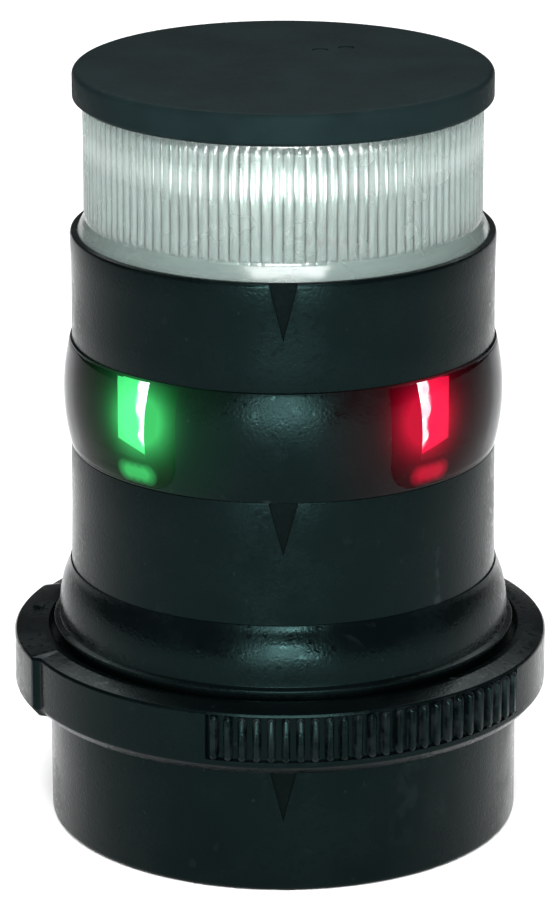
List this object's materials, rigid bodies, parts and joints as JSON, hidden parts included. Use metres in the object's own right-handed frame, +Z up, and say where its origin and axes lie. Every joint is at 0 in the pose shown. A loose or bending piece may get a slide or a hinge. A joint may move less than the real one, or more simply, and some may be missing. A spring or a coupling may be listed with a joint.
{
  "type": "navigation light",
  "caption": "Compact masthead navigation light: port, starboard and stern sectors in one band, all-round anchor light above, bayonet ring and base below.",
  "frame": {"origin": "centre of the underside, where the cable entry opens", "axes": "+Z up along the light's axis, -Y towards the bow, -X starboard (green), +X port (red), +Y stern (white)"},
  "size_m": [0.0751, 0.075, 0.1079],
  "materials": {
    "black_housing": "fine moulded grain, satin",
    "black_ring": "fine moulded grain, satin",
    "black_cap": "fine moulded grain, satin",
    "screen_black": "matt",
    "clear_lens": "clear, fluted",
    "sector_lens": "clear, glossy",
    "white_reflector": "gloss white",
    "white_board": "white solder mask",
    "circuit_board": "green solder mask",
    "green_lamp": "lit lamp",
    "red_lamp": "lit lamp",
    "white_lamp": "lit lamp",
    "aluminium": "machined",
    "stainless": "satin",
    "plated_steel": "zinc plated",
    "brass": "machined",
    "rubber": "matt",
    "socket_nylon": "moulded nylon",
    "inductor_ferrite": "matt ferrite with copper winding",
    "capacitor_can": "sleeved can",
    "chip_black": "moulded epoxy",
    "lead_red": "silicone sleeve",
    "lead_black": "silicone sleeve"
  },
  "bodies": {
    "base": {"base_housing": "black_housing", "socket_block": "socket_nylon", "contact_sockets": "brass", "terminal_screws": "plated_steel", "socket_block_screws": "plated_steel", "cable_grommet": "rubber", "mounting_seal": "rubber"},
    "head": {"lower_housing": "black_housing", "lower_band_seal": "rubber", "stack_screws": "stainless", "contact_carrier": "socket_nylon", "contact_pins": "brass", "carrier_screws": "stainless", "head_gasket": "rubber", "driver_board": "circuit_board", "board_screws": "stainless", "driver_inductor": "inductor_ferrite", "driver_capacitors": "capacitor_can", "driver_chips": "chip_black", "supply_leads": "lead_black", "starboard_lens": "sector_lens", "port_lens": "sector_lens", "stern_lens": "sector_lens", "sector_band": "black_housing", "heat_sink": "aluminium", "sector_leads": "lead_black", "upper_housing": "black_housing", "upper_band_seal": "rubber", "lens_seal": "rubber", "anchor_lens": "clear_lens", "anchor_reflector": "white_reflector", "anchor_post": "white_reflector", "anchor_board": "white_board", "anchor_leds": "white_lamp", "anchor_lead_red": "lead_red", "anchor_lead_black": "lead_black", "tie_screw": "stainless", "cap_seal": "rubber", "top_cap": "black_cap", "starboard_screen": "screen_black", "port_screen": "screen_black", "stern_screen": "screen_black", "starboard_board": "white_board", "port_board": "white_board", "stern_board": "white_board", "starboard_leds": "green_lamp", "port_leds": "red_lamp", "stern_leds": "white_lamp"},
    "ring": {"locking_ring": "black_ring"}
  },
  "joints": [
    {"name": "head_lift", "type": "slide", "parent": "base", "child": "head", "axis": [0, 0, 1], "range_m": [0, 0.012]},
    {"name": "ring_turn", "type": "hinge", "parent": "head", "child": "ring", "pos_m": [0, 0, 0.0233], "axis": [0, 0, 1], "range_deg": [0, 90]}
  ],
  "couplings": [
    {"joint": "head_lift", "follows": "ring_turn", "m_per_rad": 0.007639}
  ]
}
